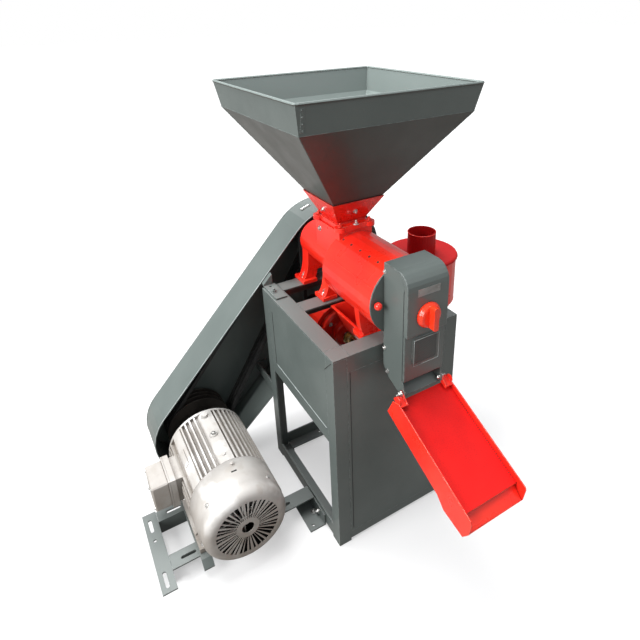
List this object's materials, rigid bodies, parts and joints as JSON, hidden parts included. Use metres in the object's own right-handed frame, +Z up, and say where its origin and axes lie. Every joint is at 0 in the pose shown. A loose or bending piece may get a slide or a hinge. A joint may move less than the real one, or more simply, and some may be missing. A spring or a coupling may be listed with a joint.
{
  "type": "rice huller",
  "caption": "Rice huller with hopper, milling drum, discharge head and chute, blower, dust cyclone and belt drive from a side motor",
  "frame": {"origin": "bottom centre of the bounding box, on the floor", "axes": "+Z up; the discharge head and chute face -Y; the motor stands on the -X side and the belts run at the +Y side"},
  "size_m": [0.9356, 0.8002, 1.0666],
  "materials": {
    "grey_enamel": "semi-gloss blue-grey enamel",
    "red_enamel": "gloss red enamel",
    "motor_paint": "silver-white paint",
    "cast_iron": "dark cast pulleys",
    "bright_steel": "turned bright steel",
    "belt_rubber": "black V-belt rubber",
    "knob_plastic": "glossy orange-red plastic"
  },
  "bodies": {
    "machine": {"leg_front_left": "grey_enamel", "leg_front_right": "grey_enamel", "leg_back_left": "grey_enamel", "leg_back_right": "grey_enamel", "rail_top_front": "grey_enamel", "rail_top_back": "grey_enamel", "rail_top_left": "grey_enamel", "rail_top_right": "grey_enamel", "rail_top_cross": "grey_enamel", "rail_bottom_front": "grey_enamel", "rail_bottom_back": "grey_enamel", "rail_bottom_left": "grey_enamel", "rail_bottom_right": "grey_enamel", "rail_mid_left": "grey_enamel", "rail_mid_right": "grey_enamel", "panel_front": "grey_enamel", "panel_left": "grey_enamel", "panel_right": "grey_enamel", "base_bar_left": "grey_enamel", "base_bar_right": "grey_enamel", "base_rail_front": "grey_enamel", "base_rail_back": "grey_enamel", "guard_shell": "grey_enamel", "guard_bracket": "grey_enamel", "guard_stay_left": "grey_enamel", "guard_stay_right": "grey_enamel", "hopper": "grey_enamel", "end_disc": "grey_enamel", "head_chassis": "grey_enamel", "head_upper_cover": "grey_enamel", "head_lower_cover": "grey_enamel", "cyclone_bracket": "grey_enamel", "drum_housing": "red_enamel", "feed_neck": "red_enamel", "blower_housing": "red_enamel", "bran_funnel": "red_enamel", "air_duct": "red_enamel", "cyclone_body": "red_enamel", "cyclone_lid": "red_enamel", "motor_housing": "motor_paint", "motor_end_shield": "motor_paint", "motor_fan_cowl": "motor_paint", "terminal_box": "motor_paint", "terminal_lid": "motor_paint", "mill_screen": "bright_steel", "belt_main_1": "belt_rubber", "belt_main_2": "belt_rubber", "belt_main_3": "belt_rubber", "belt_blower": "belt_rubber"},
    "motor_shaft_group": {"motor_rotor": "bright_steel", "motor_pulley": "cast_iron"},
    "mill_shaft_group": {"mill_rotor": "bright_steel", "mill_pulley": "cast_iron"},
    "blower_shaft_group": {"blower_rotor": "bright_steel", "blower_pulley": "cast_iron"},
    "pressure_knob_group": {"pressure_knob": "knob_plastic"},
    "outlet_cone_group": {"outlet_cone": "bright_steel"},
    "ball_knob_group": {"ball_knob": "red_enamel"},
    "chute_group": {"chute_tray": "red_enamel", "chute_sieve": "red_enamel"}
  },
  "joints": [
    {"name": "motor_spin", "type": "hinge", "parent": "machine", "child": "motor_shaft_group", "pos_m": [-0.26875, -0.08487, 0.146], "axis": [0, 1, 0], "continuous": true},
    {"name": "mill_spin", "type": "hinge", "parent": "machine", "child": "mill_shaft_group", "pos_m": [0.09875, -0.08487, 0.655], "axis": [0, 1, 0], "continuous": true},
    {"name": "blower_spin", "type": "hinge", "parent": "machine", "child": "blower_shaft_group", "pos_m": [0.09275, -0.08487, 0.435], "axis": [0, 1, 0], "continuous": true},
    {"name": "knob_turn", "type": "hinge", "parent": "machine", "child": "pressure_knob_group", "pos_m": [0.09875, -0.17587, 0.655], "axis": [0, -1, 0], "range_deg": [0, 270]},
    {"name": "cone_slide", "type": "slide", "parent": "machine", "child": "outlet_cone_group", "axis": [0, -1, 0], "range_m": [0, 0.006]},
    {"name": "ball_turn", "type": "hinge", "parent": "machine", "child": "ball_knob_group", "pos_m": [0.02915, -0.10637, 0.6601], "axis": [0, -1, 0], "range_deg": [0, 360]},
    {"name": "chute_tilt", "type": "hinge", "parent": "machine", "child": "chute_group", "pos_m": [0.09875, -0.16427, 0.4755], "axis": [1, 0, 0], "range_deg": [-20, 30]}
  ],
  "couplings": [
    {"joint": "mill_spin", "follows": "motor_spin", "ratio": 2},
    {"joint": "blower_spin", "follows": "motor_spin", "ratio": 2.8667},
    {"joint": "knob_turn", "follows": "cone_slide", "rad_per_m": 785.4}
  ]
}
